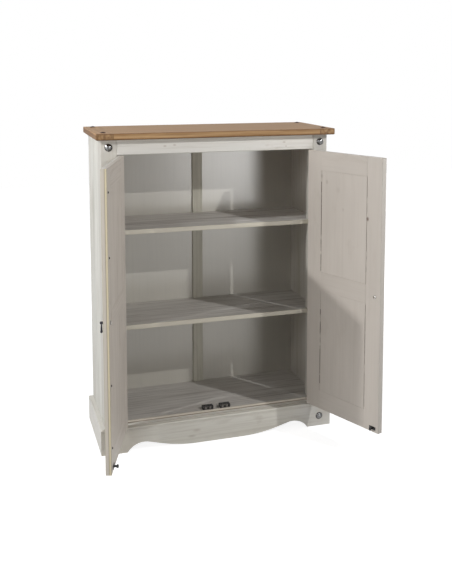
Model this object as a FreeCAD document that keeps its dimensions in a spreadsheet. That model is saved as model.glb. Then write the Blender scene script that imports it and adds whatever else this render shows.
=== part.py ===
import FreeCAD, Part
import math
import os
import re
import Sketcher

# A two-door painted pine cupboard with a waxed top, drawn with both doors standing open.
# Millimetres. X runs along the front, Y from the front to the back, Z up.
# The origin is the middle of the carcase's front plane at floor level.

VALUES = {
    # Carcase
    "carcase_width": 880.0,
    "carcase_depth": 340.0,
    "total_height": 1198.0,
    "side_thickness": 21.0,
    "tongue_thickness": 8.0,
    "tongue_length": 7.0,
    "arris": 1.5,
    # Top board with its two end battens
    "top_thickness": 24.0,
    "top_side_overhang": 20.0,
    "top_front_overhang": 35.0,
    "end_batten_width": 64.0,
    "top_upper_round": 2.5,
    "top_lower_round": 5.0,
    "top_corner_round": 6.0,
    "batten_joint": 1.2,
    # Front posts
    "post_width": 59.0,
    "post_depth": 62.0,
    "post_round": 4.0,
    "post_joint_depth": 21.0,
    "post_joint_size": 1.4,
    # Front and rear rails
    "top_rail_height": 57.0,
    "rail_thickness": 22.0,
    "rail_chamfer": 2.0,
    "tenon_length": 24.0,
    "tenon_thickness": 8.0,
    "tenon_shoulder": 8.0,
    "bottom_rail_top": 97.5,
    "bottom_rail_height": 40.0,
    # Bottom board and shelves
    "board_thickness": 19.0,
    "bottom_top": 107.0,
    "shelf_thickness": 17.0,
    "upper_shelf_top": 832.0,
    "lower_shelf_top": 469.0,
    "shelf_setback": 38.0,
    "housing_depth": 8.0,
    # Back
    "back_thickness": 6.0,
    "back_setback": 1.0,
    "back_low": 60.0,
    "back_batten_width": 42.0,
    "back_batten_proud": 7.0,
    "back_groove": 8.0,
    # Plinth
    "plinth_thickness": 18.0,
    "plinth_height": 95.0,
    "plinth_round": 4.0,
    "plinth_quirk_drop": 8.0,
    "plinth_quirk_size": 1.6,
    "belly_half_width": 90.0,
    "belly_radius": 556.0,
    "belly_angle": 15.1,
    "cove_radius": 75.0,
    "cove_centre": 298.0,
    "block_length": 60.0,
    "block_height": 22.0,
    "block_pitch": 190.0,
    # Domed studs
    "front_stud_radius": 14.0,
    "front_stud_height": 7.5,
    "front_stud_drop": 29.0,
    "foot_stud_height": 41.0,
    "top_stud_radius": 10.5,
    "top_stud_height": 4.5,
    "top_stud_inset": 45.0,
    "stud_rim": 1.2,
    "stud_lip": 1.2,
    "stud_shank_radius": 2.0,
    "stud_shank_length": 16.0,
    # Screws that hold the top from below
    "top_screw_radius": 2.2,
    "top_screw_head": 4.2,
    "top_screw_head_height": 3.0,
    "top_screw_bite": 14.0,
    "top_screw_inset": 110.0,
    # Doors
    "door_thickness": 20.0,
    "door_gap": 2.0,
    "hinge_gap": 2.0,
    "meeting_gap": 3.0,
    "stile_width": 72.5,
    "door_rail_height": 72.5,
    "mid_rail_height": 72.0,
    "mid_rail_centre": 610.0,
    "frame_groove_depth": 8.0,
    "frame_groove_front": 8.0,
    "frame_groove_width": 6.0,
    "panel_front": 5.0,
    "panel_back_recess": 0.4,
    "panel_side_gap": 1.4,
    "panel_end_gap": 0.3,
    "panel_chamfer": 1.5,
    "panel_back_chamfer": 0.4,
    "stile_chamfer": 0.5,
    "left_angle": 107.7,
    "right_angle": 112.1,
    # Flat strip let into the left door's meeting edge
    "strip_width": 34.0,
    "strip_thickness": 12.5,
    "strip_chamfer": 1.0,
    "strip_screw_inset": 19.5,
    "strip_screw_low_margin": 85.5,
    "strip_screw_high_margin": 78.0,
    "strip_screw_radius": 1.8,
    "strip_screw_head": 3.9,
    "strip_screw_crown": 2.7,
    "strip_screw_head_height": 2.6,
    "strip_screw_length": 17.0,
    # Butt hinges
    "knuckle_radius": 3.5,
    "knuckle_forward": 4.0,
    "knuckle_slack": 0.3,
    "pin_radius": 1.7,
    "pin_slack": 0.05,
    "pin_overhang": 1.5,
    "leaf_length": 76.0,
    "leaf_reach": 16.0,
    "leaf_thickness": 2.0,
    "leaf_recess": 1.4,
    "hinge_inset": 150.0,
    "hinge_screw_radius": 1.8,
    "hinge_screw_head": 3.4,
    "hinge_screw_head_height": 1.6,
    "hinge_screw_length": 16.0,
    "hinge_screw_line": 9.0,
    "hinge_screw_pitch": 26.0,
    # Catches on the bottom board and their strikes
    "catch_left": 38.0,
    "catch_right": 30.0,
    "catch_width": 43.0,
    "catch_height": 14.5,
    "catch_depth": 18.0,
    "catch_front": 25.0,
    "catch_end_wall": 3.0,
    "catch_plate": 1.7,
    "catch_corner": 2.0,
    "roller_radius": 5.0,
    "roller_offset": 9.0,
    "roller_setback": 4.5,
    "roller_slack": 0.4,
    "roller_travel": 2.5,
    "pip_radius": 1.5,
    "pip_length": 1.6,
    "strike_plate_width": 30.0,
    "strike_plate_height": 12.0,
    "strike_plate_thickness": 2.0,
    "strike_height": 9.8,
    "strike_neck": 3.0,
    "strike_neck_height": 7.0,
    "strike_neck_end": 11.0,
    "strike_head": 11.0,
    "strike_head_start": 13.5,
    "strike_tip": 1.6,
    "strike_reach": 18.0,
    # Drop handles
    "handle_inset": 27.5,
    "handle_height": 607.0,
    "rosette_radius": 15.0,
    "rosette_thickness": 2.5,
    "rosette_chamfer": 1.2,
    "boss_radius": 8.0,
    "boss_height": 3.0,
    "handle_post_radius": 4.5,
    "handle_post_length": 11.5,
    "fork_slot": 3.6,
    "fork_depth": 8.5,
    "handle_pin_radius": 1.4,
    "handle_pin_inset": 4.0,
    "drop_tab": 3.0,
    "drop_tab_radius": 3.4,
    "drop_neck_radius": 1.5,
    "drop_length": 34.0,
    "drop_bulb_radius": 4.3,
    "drop_foot_share": 0.86,
    "drop_rise_share": 1.4,
    "bolt_radius": 2.0,
    "bolt_slack": 0.15,
    "nut_radius": 6.5,
    "nut_height": 3.5,
    "nut_round": 2.4,
}

doc = FreeCAD.newDocument("cupboard")
sheet = doc.addObject("Spreadsheet::Sheet", "dims")
for row, (alias, amount) in enumerate(VALUES.items(), 1):
    sheet.set(f"A{row}", alias)
    sheet.set(f"B{row}", str(amount))
    sheet.setAlias(f"B{row}", alias)
doc.recompute()

NAME = re.compile(r"[a-z_]+")
PARALLEL = 1e-6
TOUCHING = 1e-4
parts = {}


def value(alias):
    return float(sheet.get(alias))


def bound(text):
    return NAME.sub(lambda m: "dims." + m.group() if m.group() in VALUES else m.group(), text)


def keep(label, piece, side=0):
    """Files a finished piece under its node name; side says which door swings it open."""
    node = piece
    if side:
        node = group(label + "_open", piece)
        swing(node, side)
    node.Label = label
    parts[label] = node
    return piece


def mirrored(side, inner, outer):
    if side > 0:
        return inner, outer
    return f"-({outer})", f"-({inner})"


def signed(side, text):
    return text if side > 0 else f"-({text})"


def box(name, x, y, z):
    piece = doc.addObject("Part::Box", name)
    for length, axis, (low, high) in (("Length", "x", x), ("Width", "y", y), ("Height", "z", z)):
        piece.setExpression(length, bound(f"({high}) - ({low})"))
        piece.setExpression("Placement.Base." + axis, bound(low))
    return piece


# Turns that lay a cylinder, cone or dome along an axis.
TURN = {
    "+z": (FreeCAD.Vector(0, 0, 1), 0),
    "-z": (FreeCAD.Vector(1, 0, 0), 180),
    "+y": (FreeCAD.Vector(1, 0, 0), -90),
    "-y": (FreeCAD.Vector(1, 0, 0), 90),
    "+x": (FreeCAD.Vector(0, 1, 0), 90),
    "-x": (FreeCAD.Vector(0, 1, 0), -90),
}


def placed(piece, at, way="+z"):
    piece.Placement = FreeCAD.Placement(FreeCAD.Vector(), FreeCAD.Rotation(*TURN[way]))
    for axis, text in zip("xyz", at):
        piece.setExpression("Placement.Base." + axis, bound(text))
    return piece


def rod(name, radius, length, at, way="+z"):
    piece = doc.addObject("Part::Cylinder", name)
    piece.setExpression("Radius", bound(radius))
    piece.setExpression("Height", bound(length))
    return placed(piece, at, way)


def cone(name, radius, end_radius, length, at, way="+z"):
    piece = doc.addObject("Part::Cone", name)
    piece.setExpression("Radius1", bound(radius))
    piece.setExpression("Radius2", bound(end_radius))
    piece.setExpression("Height", bound(length))
    return placed(piece, at, way)


def ball(name, radius, at, way="+z"):
    piece = doc.addObject("Part::Sphere", name)
    piece.setExpression("Radius", bound(radius))
    return placed(piece, at, way)


def cut(base, *tools):
    for tool in tools:
        step = doc.addObject("Part::Cut", base.Name + "_cut")
        step.Base = base
        step.Tool = tool
        base = step
    return base


def fuse(name, *pieces):
    joined = doc.addObject("Part::MultiFuse", name)
    joined.Shapes = list(pieces)
    joined.Refine = True
    return joined


def group(name, *pieces):
    together = doc.addObject("Part::Compound", name)
    together.Links = list(pieces)
    return together


def swing(piece, side):
    """Turns a piece of a closed door about its hinge pins to the opening angle."""
    turn = "left_angle" if side < 0 else "right_angle"
    axis = FreeCAD.Vector(0, 0, side)
    piece.Placement = FreeCAD.Placement(FreeCAD.Vector(), FreeCAD.Rotation(axis, value(turn)))
    x, y = signed(side, PIVOT), "(-knuckle_forward)"
    cosine, sine = f"cos({turn} * 1deg)", signed(side, f"sin({turn} * 1deg)")
    piece.setExpression("Placement.Base.x", bound(f"{x} - ({x} * {cosine} - {y} * {sine})"))
    piece.setExpression("Placement.Base.y", bound(f"{y} - ({x} * {sine} + {y} * {cosine})"))
    piece.setExpression("Placement.Rotation.Angle", bound(f"{turn} * 1deg"))


def ease(base, alias, picks, kind="Part::Chamfer"):
    """Chamfers or rounds the edges of base that picks accepts."""
    doc.recompute()
    size = value(alias)
    eased = doc.addObject(kind, base.Name + "_eased")
    eased.Base = base
    bounds = base.Shape.BoundBox
    eased.Edges = [(n, size, size) for n, e in enumerate(base.Shape.Edges, 1) if picks(e, bounds)]
    return eased


def runs(edge, axis):
    ends = [v.Point for v in edge.Vertexes]
    if len(ends) < 2:
        return False
    way = (ends[1] - ends[0]).normalize()
    return abs(abs(getattr(way, axis)) - 1) < PARALLEL


def lies(edge, axis, place):
    return all(abs(getattr(v.Point, axis) - place) < TOUCHING for v in edge.Vertexes)


def along(axis):
    return lambda edge, bounds: runs(edge, axis)


def front_along(axis):
    return lambda edge, bounds: runs(edge, axis) and lies(edge, "y", bounds.YMin)


def padded(name, points, low, high):
    """A board whose outline in plan is padded from low to high."""
    body = doc.addObject("PartDesign::Body", name)
    sketch = body.newObject("Sketcher::SketchObject", name + "_outline")
    plane = next(f for f in body.Origin.OriginFeatures if f.Role == "XY_Plane")
    sketch.AttachmentSupport = [(plane, "")]
    sketch.MapMode = "FlatFace"
    sketch.setExpression("AttachmentOffset.Base.z", bound(low))
    count = len(points)
    angles = [k * math.tau / count for k in range(count)]
    ring = [FreeCAD.Vector(math.cos(a), math.sin(a), 0) for a in angles]
    for k in range(count):
        sketch.addGeometry(Part.LineSegment(ring[k], ring[(k + 1) % count]), False)
    for k in range(count):
        sketch.addConstraint(Sketcher.Constraint("Coincident", k, 2, (k + 1) % count, 1))
    for k, (x, y) in enumerate(points):
        for way, text, start in (("DistanceX", x, ring[k].x), ("DistanceY", y, ring[k].y)):
            place = sketch.addConstraint(Sketcher.Constraint(way, -1, 1, k, 1, start))
            sketch.setExpression(f"Constraints[{place}]", bound(text))
    pad = body.newObject("PartDesign::Pad", name + "_pad")
    pad.Profile = sketch
    pad.setExpression("Length", bound(f"({high}) - ({low})"))
    return body


# Places that many pieces share
HALF = "(carcase_width / 2)"
OPENING = "(carcase_width / 2 - post_width)"
INSIDE = "(carcase_width / 2 - side_thickness)"
HOUSED = "(carcase_width / 2 - side_thickness + housing_depth)"
UNDER_TOP = "(total_height - top_thickness)"
RAIL_LOW = "(total_height - top_thickness - top_rail_height)"
DOOR_LOW = "(bottom_rail_top + door_gap)"
DOOR_HIGH = "(total_height - top_thickness - top_rail_height - door_gap)"
HINGE_EDGE = "(carcase_width / 2 - post_width - hinge_gap)"
LOCK_EDGE = "(meeting_gap / 2)"
PIVOT = "(carcase_width / 2 - post_width - hinge_gap / 2)"
SIDES = {"left": -1, "right": 1}
BACK_FACE = "(carcase_depth - back_setback - back_thickness)"
BATTEN_FRONT = "(carcase_depth - back_setback - back_thickness - back_batten_proud)"


# Top board, end battens and the screws that hold them

EDGE_ROUNDS = {"top_upper_round": "ZMax", "top_lower_round": "ZMin"}


def top_boards():
    end = f"({HALF} + top_side_overhang)"
    y = ("-top_front_overhang", "carcase_depth")
    z = (UNDER_TOP, "total_height")
    inner = f"({end} - end_batten_width)"
    tongue_low = f"({UNDER_TOP} + (top_thickness - tongue_thickness) / 2)"
    tongue_z = (tongue_low, f"({tongue_low} + tongue_thickness)")
    tongue_y = ("-top_front_overhang + top_lower_round", "carcase_depth")

    planks = box("planks", (f"-{inner}", inner), y, z)
    for alias, level in EDGE_ROUNDS.items():

        def front_edge(edge, bounds, level=level):
            return front_along("x")(edge, bounds) and lies(edge, "z", getattr(bounds, level))

        planks = ease(planks, alias, front_edge, "Part::Fillet")
    grooves = [
        box(f"groove_{word}", mirrored(side, f"({inner} - tongue_length)", inner), tongue_y, tongue_z)
        for word, side in SIDES.items()
    ]
    planks = cut(planks, *grooves)
    for word, side in SIDES.items():
        batten = box(f"batten_{word}", mirrored(side, inner, end), y, z)
        outer = -1 if side < 0 else 1

        def corners(edge, bounds, outer=outer):
            return runs(edge, "z") and lies(edge, "x", bounds.XMax if outer > 0 else bounds.XMin)

        batten = ease(batten, "top_corner_round", corners, "Part::Fillet")

        for alias, level in EDGE_ROUNDS.items():

            def rim(edge, bounds, outer=outer, level=level):
                if lies(edge, "x", bounds.XMin if outer > 0 else bounds.XMax):
                    return False
                return lies(edge, "z", getattr(bounds, level)) and not lies(edge, "y", bounds.YMax)

            batten = ease(batten, alias, rim, "Part::Fillet")
        tongue = box(f"batten_tongue_{word}", mirrored(side, f"({inner} - tongue_length)", inner),
                     tongue_y, tongue_z)
        keep(f"top_end_batten_{word}", fuse(f"batten_joined_{word}", batten, tongue))
    return planks


# Domed stud: a low dome on a thin rim, with a shank driven into the wood

def stud(name, radius, height, at, way):
    back = {"-y": "+y", "+z": "-z"}[way]
    axis = {"-y": 1, "+z": 2}[way]
    sign = "-" if way == "-y" else "+"
    rim = rod(name + "_rim", radius, "stud_rim", at, way)
    shank = rod(name + "_shank", "stud_shank_radius", "stud_shank_length", at, back)
    round_radius = f"(({radius} - stud_lip) ^ 2 + ({height} - stud_rim) ^ 2) / (2 * ({height} - stud_rim))"
    centre = list(at)
    centre[axis] = f"({at[axis]}) {sign} ({height}) {'+' if sign == '-' else '-'} ({round_radius})"
    globe = ball(name + "_globe", round_radius, centre, way)
    room = rod(name + "_room", f"({radius}) - stud_lip / 2", height, at, way)
    dome = doc.addObject("Part::Common", name + "_dome")
    dome.Base = globe
    dome.Tool = room
    return fuse(name, rim, dome, shank)


def studs():
    front = []
    for word, side in SIDES.items():
        x = signed(side, f"{HALF} - post_width / 2")
        high = (x, "0", f"{UNDER_TOP} - front_stud_drop")
        low = (x, "-plinth_thickness", "foot_stud_height")
        front.append(stud(f"stud_high_{word}", "front_stud_radius", "front_stud_height", high, "-y"))
        front.append(stud(f"stud_low_{word}", "front_stud_radius", "front_stud_height", low, "-y"))
    top = []
    for word, side in SIDES.items():
        x = signed(side, f"{HALF} + top_side_overhang - end_batten_width / 2")
        rows = {"fore": "top_stud_inset - top_front_overhang", "aft": "carcase_depth - top_stud_inset"}
        for row, y in rows.items():
            top.append(stud(f"stud_{row}_{word}", "top_stud_radius", "top_stud_height",
                            (x, y, "total_height"), "+z"))
    return group("front_studs_set", *front), group("top_studs_set", *top)


def top_screws():
    screws = []
    for word, side in SIDES.items():
        x = signed(side, f"{OPENING} - top_screw_inset")
        for row, y in (("fore", "rail_thickness / 2"), ("aft", f"{BATTEN_FRONT} - rail_thickness / 2")):
            name = f"top_screw_{row}_{word}"
            head = rod(name + "_head", "top_screw_head", "top_screw_head_height", (x, y, RAIL_LOW))
            shank = rod(name + "_shank", "top_screw_radius", "top_rail_height + top_screw_bite",
                        (x, y, RAIL_LOW))
            screws.append(fuse(name, head, shank))
    return group("top_screws_set", *screws)


front_studs, top_studs = studs()
keep("front_studs", front_studs)
keep("top_studs", top_studs)
screws_up = keep("top_fixing_screws", top_screws())
keep("top_planks", cut(top_boards(), screws_up))
for word in SIDES:
    keep(f"top_end_batten_{word}", cut(parts[f"top_end_batten_{word}"], top_studs))


# Hinge furniture, which the posts and stiles are cut for

HINGES = {"low": f"({DOOR_LOW} + hinge_inset)", "high": f"({DOOR_HIGH} - hinge_inset)"}
KNUCKLES = 5


def hinge_leaf(name, side, fixed, centre):
    """One leaf: a plate on the wood and every other knuckle round the pin."""
    low = f"({centre} - leaf_length / 2)"
    if fixed:
        plate_x = mirrored(side, f"({OPENING} - leaf_thickness + leaf_recess)", f"({OPENING} + leaf_recess)")
    else:
        plate_x = mirrored(side, f"({HINGE_EDGE} - leaf_recess)",
                           f"({HINGE_EDGE} + leaf_thickness - leaf_recess)")
    pieces = [box(name + "_plate", plate_x, ("0", "leaf_reach"), (low, f"{low} + leaf_length"))]
    first = 0 if fixed else 1
    for k in range(first, KNUCKLES, 2):
        z = f"({low} + leaf_length * {k} / {KNUCKLES} + knuckle_slack / 2)"
        tall = f"(leaf_length / {KNUCKLES} - knuckle_slack)"
        x = signed(side, PIVOT)
        pieces.append(rod(f"{name}_knuckle", "knuckle_radius", tall, (x, "-knuckle_forward", z)))
        pieces.append(box(f"{name}_root", plate_x, ("-knuckle_forward", "leaf_reach"), (z, f"{z} + {tall}")))
    leaf = fuse(name + "_solid", *pieces)
    bore = rod(name + "_bore", "pin_radius + pin_slack", "leaf_length",
               (signed(side, PIVOT), "-knuckle_forward", low))
    return cut(leaf, bore)


def leaf_seat(name, side, fixed, centre):
    z = (f"({centre} - leaf_length / 2)", f"({centre} + leaf_length / 2)")
    if fixed:
        x = mirrored(side, OPENING, f"({OPENING} + leaf_recess)")
    else:
        x = mirrored(side, f"({HINGE_EDGE} - leaf_recess)", HINGE_EDGE)
    return box(name, x, ("-leaf_reach", "leaf_reach"), z)


def hinge_screws(name, side, fixed, centre):
    """Three countersunk screws through a leaf."""
    way = {(1, True): "+x", (1, False): "-x", (-1, True): "-x", (-1, False): "+x"}[(side, fixed)]
    if fixed:
        x = signed(side, f"{OPENING} - leaf_thickness + leaf_recess")
    else:
        x = signed(side, f"{HINGE_EDGE} + leaf_thickness - leaf_recess")
    made = []
    for k in (-1, 0, 1):
        at = (x, "hinge_screw_line", f"{centre} + hinge_screw_pitch * {k}")
        head = cone(f"{name}_head", "hinge_screw_head", "hinge_screw_radius", "hinge_screw_head_height",
                    at, way)
        shank = rod(f"{name}_shank", "hinge_screw_radius", "hinge_screw_length", at, way)
        made.append(fuse(f"{name}_screw", head, shank))
    return made


def hinges_of(side, word, fixed):
    kind = "post" if fixed else "door"
    leaves, seats, screws = [], [], []
    for level, centre in HINGES.items():
        name = f"{kind}_leaf_{word}_{level}"
        leaves.append(hinge_leaf(name, side, fixed, centre))
        seats.append(leaf_seat(name + "_seat", side, fixed, centre))
        screws += hinge_screws(name, side, fixed, centre)
    return leaves, seats, screws


post_seats = {}
post_leaves = []
post_screws = []
pins = []
for word, side in SIDES.items():
    leaves, seats, screws = hinges_of(side, word, True)
    screw_set = group(f"post_screws_{word}", *screws)
    post_seats[word] = seats + [screw_set]
    post_leaves += [cut(leaf, screw_set) for leaf in leaves]
    post_screws += screws
    for level, centre in HINGES.items():
        pins.append(rod(f"pin_{word}_{level}", "pin_radius", "leaf_length + 2 * pin_overhang",
                        (signed(side, PIVOT), "-knuckle_forward",
                         f"{centre} - leaf_length / 2 - pin_overhang")))
keep("hinge_post_leaves", group("post_leaf_set", *post_leaves))
keep("hinge_post_screws", group("post_screw_set", *post_screws))
keep("hinge_pins", group("pin_set", *pins))


# Front rails with tenons, and the rear rail under the top

def rail(name, low, high):
    core = box(name + "_core", (f"-{OPENING}", OPENING), ("0", "rail_thickness"), (low, high))

    def lower_front(edge, bounds):
        return lies(edge, "y", bounds.YMin) and (runs(edge, "z") or runs(edge, "x"))

    core = ease(core, "rail_chamfer", lower_front)
    y = ("(rail_thickness - tenon_thickness) / 2", "(rail_thickness + tenon_thickness) / 2")
    z = (f"({low} + tenon_shoulder)", f"({high} - tenon_shoulder)")
    reach = f"({OPENING} + tenon_length)"
    tenon = box(name + "_tenon", (f"-{reach}", reach), y, z)
    return fuse(name, core, tenon), tenon


BOTTOM_RAIL_LOW = "(bottom_rail_top - bottom_rail_height)"
top_rail, top_tenon = rail("top_rail", RAIL_LOW, UNDER_TOP)
bottom_rail, bottom_tenon = rail("bottom_rail", BOTTOM_RAIL_LOW, "bottom_rail_top")
keep("top_front_rail", cut(top_rail, screws_up))
keep("bottom_front_rail", bottom_rail)
rear_rail = box("rear_rail", (f"-{INSIDE}", INSIDE), (f"{BATTEN_FRONT} - rail_thickness", BATTEN_FRONT),
                (RAIL_LOW, UNDER_TOP))
rear_rail = ease(rear_rail, "rail_chamfer", lambda edge, bounds: front_along("x")(edge, bounds)
                 and lies(edge, "z", bounds.ZMin))
keep("top_rear_rail", cut(rear_rail, screws_up))


# Shelves and bottom board, notched round the posts and the back batten

def shelf(name, front, low, high):
    notch = f"({OPENING})"
    half_batten = "(back_batten_width / 2)"
    points = [
        (f"-{notch}", front), (notch, front), (notch, "post_depth"), (HOUSED, "post_depth"),
        (HOUSED, BACK_FACE), (half_batten, BACK_FACE), (half_batten, BATTEN_FRONT),
        (f"-{half_batten}", BATTEN_FRONT), (f"-{half_batten}", BACK_FACE), (f"-{HOUSED}", BACK_FACE),
        (f"-{HOUSED}", "post_depth"), (f"-{notch}", "post_depth"),
    ]
    board = padded(name, points, low, high)
    return ease(board, "arris", front_along("x"), "Part::Fillet")


LEVELS = {
    "bottom_panel": ("rail_thickness", "(bottom_top - board_thickness)", "bottom_top"),
    "lower_shelf": ("shelf_setback", "(lower_shelf_top - shelf_thickness)", "lower_shelf_top"),
    "upper_shelf": ("shelf_setback", "(upper_shelf_top - shelf_thickness)", "upper_shelf_top"),
}
for label, (front, low, high) in LEVELS.items():
    keep(label, shelf(label + "_board", front, low, high))


# Posts and side boards

def post(word, side):
    core = box(f"post_{word}", mirrored(side, OPENING, HALF), ("0", "post_depth"), ("0", UNDER_TOP))
    outer = "XMax" if side > 0 else "XMin"

    def outer_arris(edge, bounds):
        return front_along("z")(edge, bounds) and lies(edge, "x", getattr(bounds, outer))

    core = ease(core, "post_round", outer_arris, "Part::Fillet")
    line = ("(post_joint_depth - post_joint_size / 2)", "(post_joint_depth + post_joint_size / 2)")
    joint = box(f"post_joint_{word}", mirrored(side, f"({HALF} - post_joint_size)", HALF), line,
                ("0", UNDER_TOP))
    inner_joint = box(f"post_edge_{word}", mirrored(side, OPENING, f"({OPENING} + rail_chamfer)"),
                      ("0", "rail_chamfer"), (RAIL_LOW, UNDER_TOP))
    groove = side_tongue(f"post_groove_{word}", side)
    return cut(core, joint, inner_joint, groove, top_tenon, bottom_tenon, front_studs, *post_seats[word])


def side_tongue(name, side):
    middle = f"({HALF} - side_thickness / 2)"
    x = mirrored(side, f"({middle} - tongue_thickness / 2)", f"({middle} + tongue_thickness / 2)")
    return box(name, x, ("post_depth - tongue_length", "post_depth"), ("0", UNDER_TOP))


def side_board(word, side):
    core = box(f"side_{word}", mirrored(side, INSIDE, HALF), ("post_depth", "carcase_depth"),
               ("0", UNDER_TOP))
    outer = "XMax" if side > 0 else "XMin"

    def outer_arris(edge, bounds):
        return runs(edge, "z") and lies(edge, "x", getattr(bounds, outer))

    core = ease(core, "arris", outer_arris)
    rebate = box(f"rebate_{word}", mirrored(side, INSIDE, f"({INSIDE} + back_groove)"),
                 (BACK_FACE, "carcase_depth"), ("back_low", UNDER_TOP))
    housed_x = mirrored(side, INSIDE, HOUSED)
    housings = [
        box(f"housing_{word}_{label}", housed_x, ("post_depth", BACK_FACE), (low, high))
        for label, (front, low, high) in LEVELS.items()
    ]
    tongued = fuse(f"side_tongued_{word}", core, side_tongue(f"side_tongue_{word}", side))
    return cut(tongued, rebate, *housings)


for word, side in SIDES.items():
    keep(f"front_post_{word}", post(word, side))
    keep(f"side_panel_{word}", side_board(word, side))


# Back: two thin panels held in the grooves of a middle batten

def back():
    half = "(back_batten_width / 2)"
    panel_y = (BACK_FACE, "(carcase_depth - back_setback)")
    z = ("back_low", UNDER_TOP)
    batten = box("batten", (f"-{half}", half), (BATTEN_FRONT, "carcase_depth"), z)
    batten = ease(batten, "arris", front_along("z"))
    for word, side in SIDES.items():
        x = mirrored(side, f"({half} - back_groove)", f"({INSIDE} + back_groove)")
        panel = box(f"back_{word}", x, panel_y, z)
        panel = ease(panel, "panel_chamfer",
                     lambda edge, bounds: runs(edge, "z") and lies(edge, "y", bounds.YMax))
        keep(f"back_panel_{word}", panel)
        batten = cut(batten, box(f"back_slot_{word}", x, panel_y, z))
    keep("back_batten", batten)


back()


# Plinth: a serpentine front board mitred to two plain side boards

def plinth_outline():
    """The front view of the plinth board: two coves and a belly that stands on the floor."""
    angle = math.radians(value("belly_angle"))
    end = value("carcase_width") / 2 + value("plinth_thickness")
    top = value("plinth_height")
    flat, belly, cove = value("belly_half_width"), value("belly_radius"), value("cove_radius")
    centre_x = value("cove_centre")
    rise = (flat + belly * math.sin(angle), belly * (1 - math.cos(angle)))
    crest_x = centre_x - cove * math.sin(angle)
    crest = (crest_x, rise[1] + (crest_x - rise[0]) * math.tan(angle))
    centre_z = crest[1] - cove * math.cos(angle)
    foot_x = centre_x + math.sqrt(cove ** 2 - centre_z ** 2)

    def at(x, z, side):
        return FreeCAD.Vector(side * x, 0, z)

    def half(side):
        low = at(flat + belly * math.sin(angle / 2), belly * (1 - math.cos(angle / 2)), side)
        high = at(centre_x, centre_z + cove, side)
        return [
            Part.Arc(at(flat, 0, side), low, at(*rise, side)).toShape(),
            Part.LineSegment(at(*rise, side), at(*crest, side)).toShape(),
            Part.Arc(at(*crest, side), high, at(foot_x, 0, side)).toShape(),
            Part.LineSegment(at(foot_x, 0, side), at(end, 0, side)).toShape(),
            Part.LineSegment(at(end, 0, side), at(end, top, side)).toShape(),
        ]

    edges = half(1) + half(-1)
    edges.append(Part.LineSegment(at(flat, 0, 1), at(flat, 0, -1)).toShape())
    edges.append(Part.LineSegment(at(end, top, 1), at(end, top, -1)).toShape())
    return Part.Face(Part.Wire(Part.__sortEdges__(edges)))


OUTER = f"({HALF} + plinth_thickness)"


def plinth():
    face = plinth_outline()
    board = doc.addObject("Part::Feature", "plinth_board")
    face.translate(FreeCAD.Vector(0, -value("plinth_thickness"), 0))
    board.Shape = face.extrude(FreeCAD.Vector(0, value("plinth_thickness"), 0))
    mitres = [(f"-{OUTER}", "-plinth_thickness"), (OUTER, "-plinth_thickness"), (HALF, "0"),
              (f"-{HALF}", "0")]
    plan = padded("plinth_plan", mitres, "0", "plinth_height")
    mitred = doc.addObject("Part::Common", "plinth_mitred")
    mitred.Base = board
    mitred.Tool = plan

    def top_front(edge, bounds):
        return front_along("x")(edge, bounds) and lies(edge, "z", bounds.ZMax)

    mitred = ease(mitred, "plinth_round", top_front, "Part::Fillet")
    drop = "(plinth_height - plinth_quirk_drop)"
    quirk = box("quirk_front", (f"-{OUTER}", OUTER),
                ("-plinth_thickness", "-plinth_thickness + plinth_quirk_size"),
                (f"{drop} - plinth_quirk_size", drop))
    keep("plinth_front", cut(mitred, quirk, front_studs))
    for word, side in SIDES.items():
        points = [(signed(side, OUTER), "-plinth_thickness"), (signed(side, OUTER), "carcase_depth"),
                  (signed(side, HALF), "carcase_depth"), (signed(side, HALF), "0")]
        if side < 0:
            points.reverse()
        board = padded(f"plinth_{word}", points, "0", "plinth_height")
        outer = "XMax" if side > 0 else "XMin"

        def top_outer(edge, bounds, outer=outer):
            on_top = runs(edge, "y") and lies(edge, "z", bounds.ZMax)
            return on_top and lies(edge, "x", getattr(bounds, outer))

        keep(f"plinth_side_{word}", ease(board, "plinth_round", top_outer, "Part::Fillet"))
    blocks = []
    for k in (-1, 0, 1):
        middle = f"(block_pitch * {k})"
        block = box(f"block_{k + 1}", (f"{middle} - block_length / 2", f"{middle} + block_length / 2"),
                    ("0", "rail_thickness"), (f"{BOTTOM_RAIL_LOW} - block_height", BOTTOM_RAIL_LOW))
        blocks.append(ease(block, "rail_chamfer",
                           lambda edge, bounds: runs(edge, "x") and lies(edge, "y", bounds.YMax)
                           and lies(edge, "z", bounds.ZMin)))
    keep("plinth_blocks", group("block_set", *blocks))


plinth()


# Catches: a housing on the bottom board with two sprung rollers

CATCH_MID = "(bottom_top + catch_height / 2)"
ROLLER_Y = "(catch_front + roller_setback)"


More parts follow.
